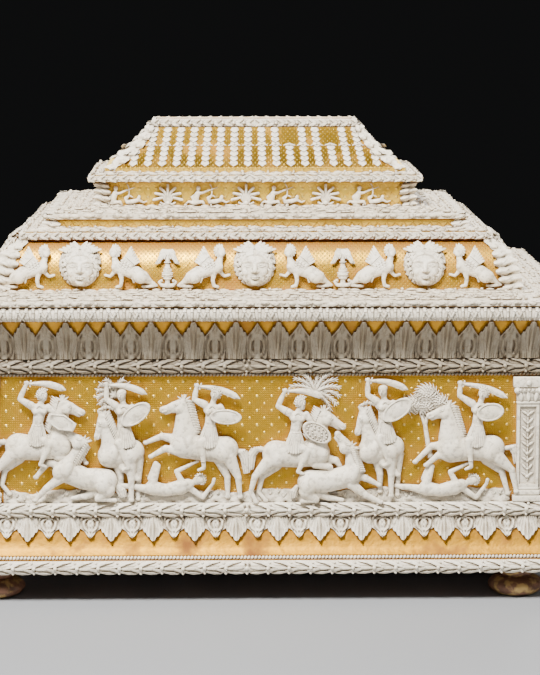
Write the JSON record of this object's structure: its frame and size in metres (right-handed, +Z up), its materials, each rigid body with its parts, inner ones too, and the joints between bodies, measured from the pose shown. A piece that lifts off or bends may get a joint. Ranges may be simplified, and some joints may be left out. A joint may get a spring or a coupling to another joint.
{
  "type": "reliquary casket",
  "caption": "Gilded rectangular casket with a stepped lift-off lid, covered in white moulded relief of fighting horsemen, masks and leaf mouldings, on bun feet",
  "frame": {"origin": "Middle of the rectangle of the four feet, on the surface the casket stands on.", "axes": "+X to the right along the front, -Y out of the front with the horsemen, +Z up."},
  "size_m": [0.3576, 0.2646, 0.2664],
  "materials": {
    "gilt_wood": "gilded gesso, punched and worn",
    "white_paste": "matte moulded paste",
    "dark_wood": "stained, with worn gilding"
  },
  "bodies": {
    "root": {"archer_1": "white_paste", "archer_2": "white_paste", "archer_3": "white_paste", "archer_4": "white_paste", "base_laurel_moulding": "white_paste", "casket_box": "gilt_wood", "cornice_leaf_row": "white_paste", "fallen_horse_left": "white_paste", "fallen_horse_right": "white_paste", "fallen_man_left": "white_paste", "fallen_man_right": "white_paste", "foot_back_left": "dark_wood", "foot_back_right": "dark_wood", "foot_front_left": "dark_wood", "foot_front_right": "dark_wood", "ground_strip": "white_paste", "hanging_leaf_row": "white_paste", "lid": "gilt_wood", "lid_cove_leaf_strip": "white_paste", "lid_crown_moulding": "white_paste", "lid_frieze_leaf_strip": "white_paste", "lid_ledge_garland": "white_paste", "lid_rim_garland": "white_paste", "lower_laurel_moulding": "white_paste", "mask_left": "white_paste", "mask_middle": "white_paste", "mask_right": "white_paste", "palm_crown_left": "white_paste", "palm_crown_right": "white_paste", "palmette_1": "white_paste", "palmette_2": "white_paste", "palmette_3": "white_paste", "pilaster_back_a": "white_paste", "pilaster_back_b": "white_paste", "pilaster_front_a": "white_paste", "pilaster_front_b": "white_paste", "pilaster_left_a": "white_paste", "pilaster_left_b": "white_paste", "pilaster_right_a": "white_paste", "pilaster_right_b": "white_paste", "rider_charging_left": "white_paste", "rider_charging_right": "white_paste", "rider_halted_left": "white_paste", "rider_halted_right": "white_paste", "rider_rearing_left": "white_paste", "rider_rearing_right": "white_paste", "seam_gadroon_moulding": "white_paste", "sphinx_1": "white_paste", "sphinx_2": "white_paste", "sphinx_3": "white_paste", "sphinx_4": "white_paste", "sphinx_5": "white_paste", "sphinx_6": "white_paste", "tree": "white_paste", "upper_laurel_moulding": "white_paste", "vase_left": "white_paste", "vase_right": "white_paste"}
  },
  "joints": []
}
